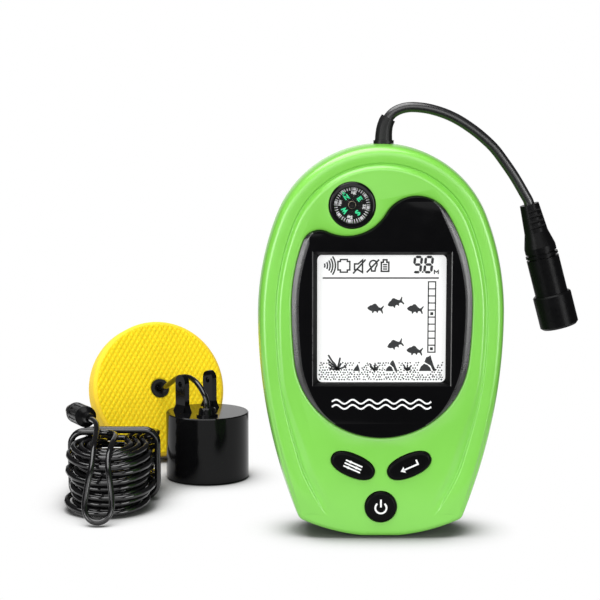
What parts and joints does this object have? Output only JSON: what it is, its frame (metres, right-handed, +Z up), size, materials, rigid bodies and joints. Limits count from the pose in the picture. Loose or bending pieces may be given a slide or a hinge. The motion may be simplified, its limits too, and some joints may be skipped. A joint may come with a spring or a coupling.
{
  "type": "fish finder",
  "caption": "Handheld fish finder: egg-shaped display with keys, compass and lead, beside its wired sonar sensor, foam float and tied cable hank.",
  "frame": {"origin": "middle of the flat foot that the display stands on, in the plane of the housing seam", "axes": "+Z up along the display, -Y out of the screen, +X to the right of someone facing the screen"},
  "size_m": [0.2026, 0.164, 0.1591],
  "materials": {
    "green_shell": "moulded bright green plastic, satin gloss",
    "black_gloss": "black plastic, high gloss",
    "black_matte": "black plastic, fine satin",
    "black_rubber": "soft black rubber",
    "clear_window": "clear acrylic",
    "lcd_glass": "pale liquid crystal glass with polariser",
    "white_plastic": "white diffuser",
    "board_green": "solder mask on glass-fibre board",
    "cell_sleeve": "printed sleeve over a can, density near a real cell's",
    "steel": "plated steel",
    "nickel": "bright nickel plate",
    "pivot_brass": "turned brass",
    "card_white": "dark printed card with pale marks",
    "ceramic": "piezo ceramic with fired silver faces",
    "cork": "pressed cork",
    "resin": "dark potting resin",
    "float_foam": null
  },
  "bodies": {
    "display": {"front_shell": "green_shell", "rear_shell": "green_shell", "case_seal": "black_rubber", "bezel": "black_gloss", "window": "clear_window", "lcd_cell": "lcd_glass", "light_guide": "white_plastic", "main_board": "board_green", "buzzer": "black_matte", "key_switches": "steel", "battery_cells": "cell_sleeve", "battery_plates": "steel", "battery_springs": "steel", "case_screws": "steel", "lead_boot": "black_rubber", "compass_cup": "black_gloss", "compass_pivot": "pivot_brass", "compass_lens": "clear_window", "display_lead": "black_rubber", "jack_grip": "black_matte", "jack_collar": "black_gloss", "jack_insulator": "black_matte", "jack_pin": "nickel"},
    "left_key": {"left_key": "black_rubber"},
    "right_key": {"right_key": "black_rubber"},
    "power_key": {"power_key": "black_rubber"},
    "compass_card": {"compass_card": "card_white"},
    "battery_cover": {"battery_cover": "green_shell", "cover_screw": "steel"},
    "sensor": {"sensor_cup": "black_gloss", "sensor_lid": "black_gloss", "sensor_lugs": "black_gloss", "cable_gland": "black_rubber", "piezo_disc": "ceramic", "cork_backing": "cork", "potting": "resin", "sensor_cable": "black_rubber", "cable_hank": "black_rubber", "cable_tail": "black_rubber", "plug_grip": "black_matte", "plug_barrel": "nickel", "plug_insulator": "black_matte"},
    "float_bush": {"float_bush": "black_matte"},
    "float": {"float_disc": "float_foam"}
  },
  "joints": [
    {"name": "left_key_press", "type": "slide", "parent": "display", "child": "left_key", "axis": [0, 1, 0], "range_m": [0, 0.0008], "stiffness_N_per_m": 800},
    {"name": "right_key_press", "type": "slide", "parent": "display", "child": "right_key", "axis": [0, 1, 0], "range_m": [0, 0.0008], "stiffness_N_per_m": 800},
    {"name": "power_key_press", "type": "slide", "parent": "display", "child": "power_key", "axis": [0, 1, 0], "range_m": [0, 0.0008], "stiffness_N_per_m": 800},
    {"name": "compass_turn", "type": "hinge", "parent": "display", "child": "compass_card", "pos_m": [-0.0109, -0.0105, 0.1224], "axis": [0, -1, 0], "continuous": true},
    {"name": "cover_lift", "type": "slide", "parent": "display", "child": "battery_cover", "axis": [0, 1, 0], "range_m": [0, 0.04]},
    {"name": "sensor_carry", "type": "slide", "parent": "display", "child": "sensor", "axis": [-1, 0, 0], "range_m": [0, 0.15]},
    {"name": "float_slide", "type": "slide", "parent": "sensor", "child": "float_bush", "axis": [0.3601, -0.8913, 0.2756], "range_m": [0, 0.008]},
    {"name": "float_spin", "type": "hinge", "parent": "float_bush", "child": "float", "pos_m": [-0.0936, 0.123, 0.03029], "axis": [0.3601, -0.8913, 0.2756], "continuous": true}
  ]
}
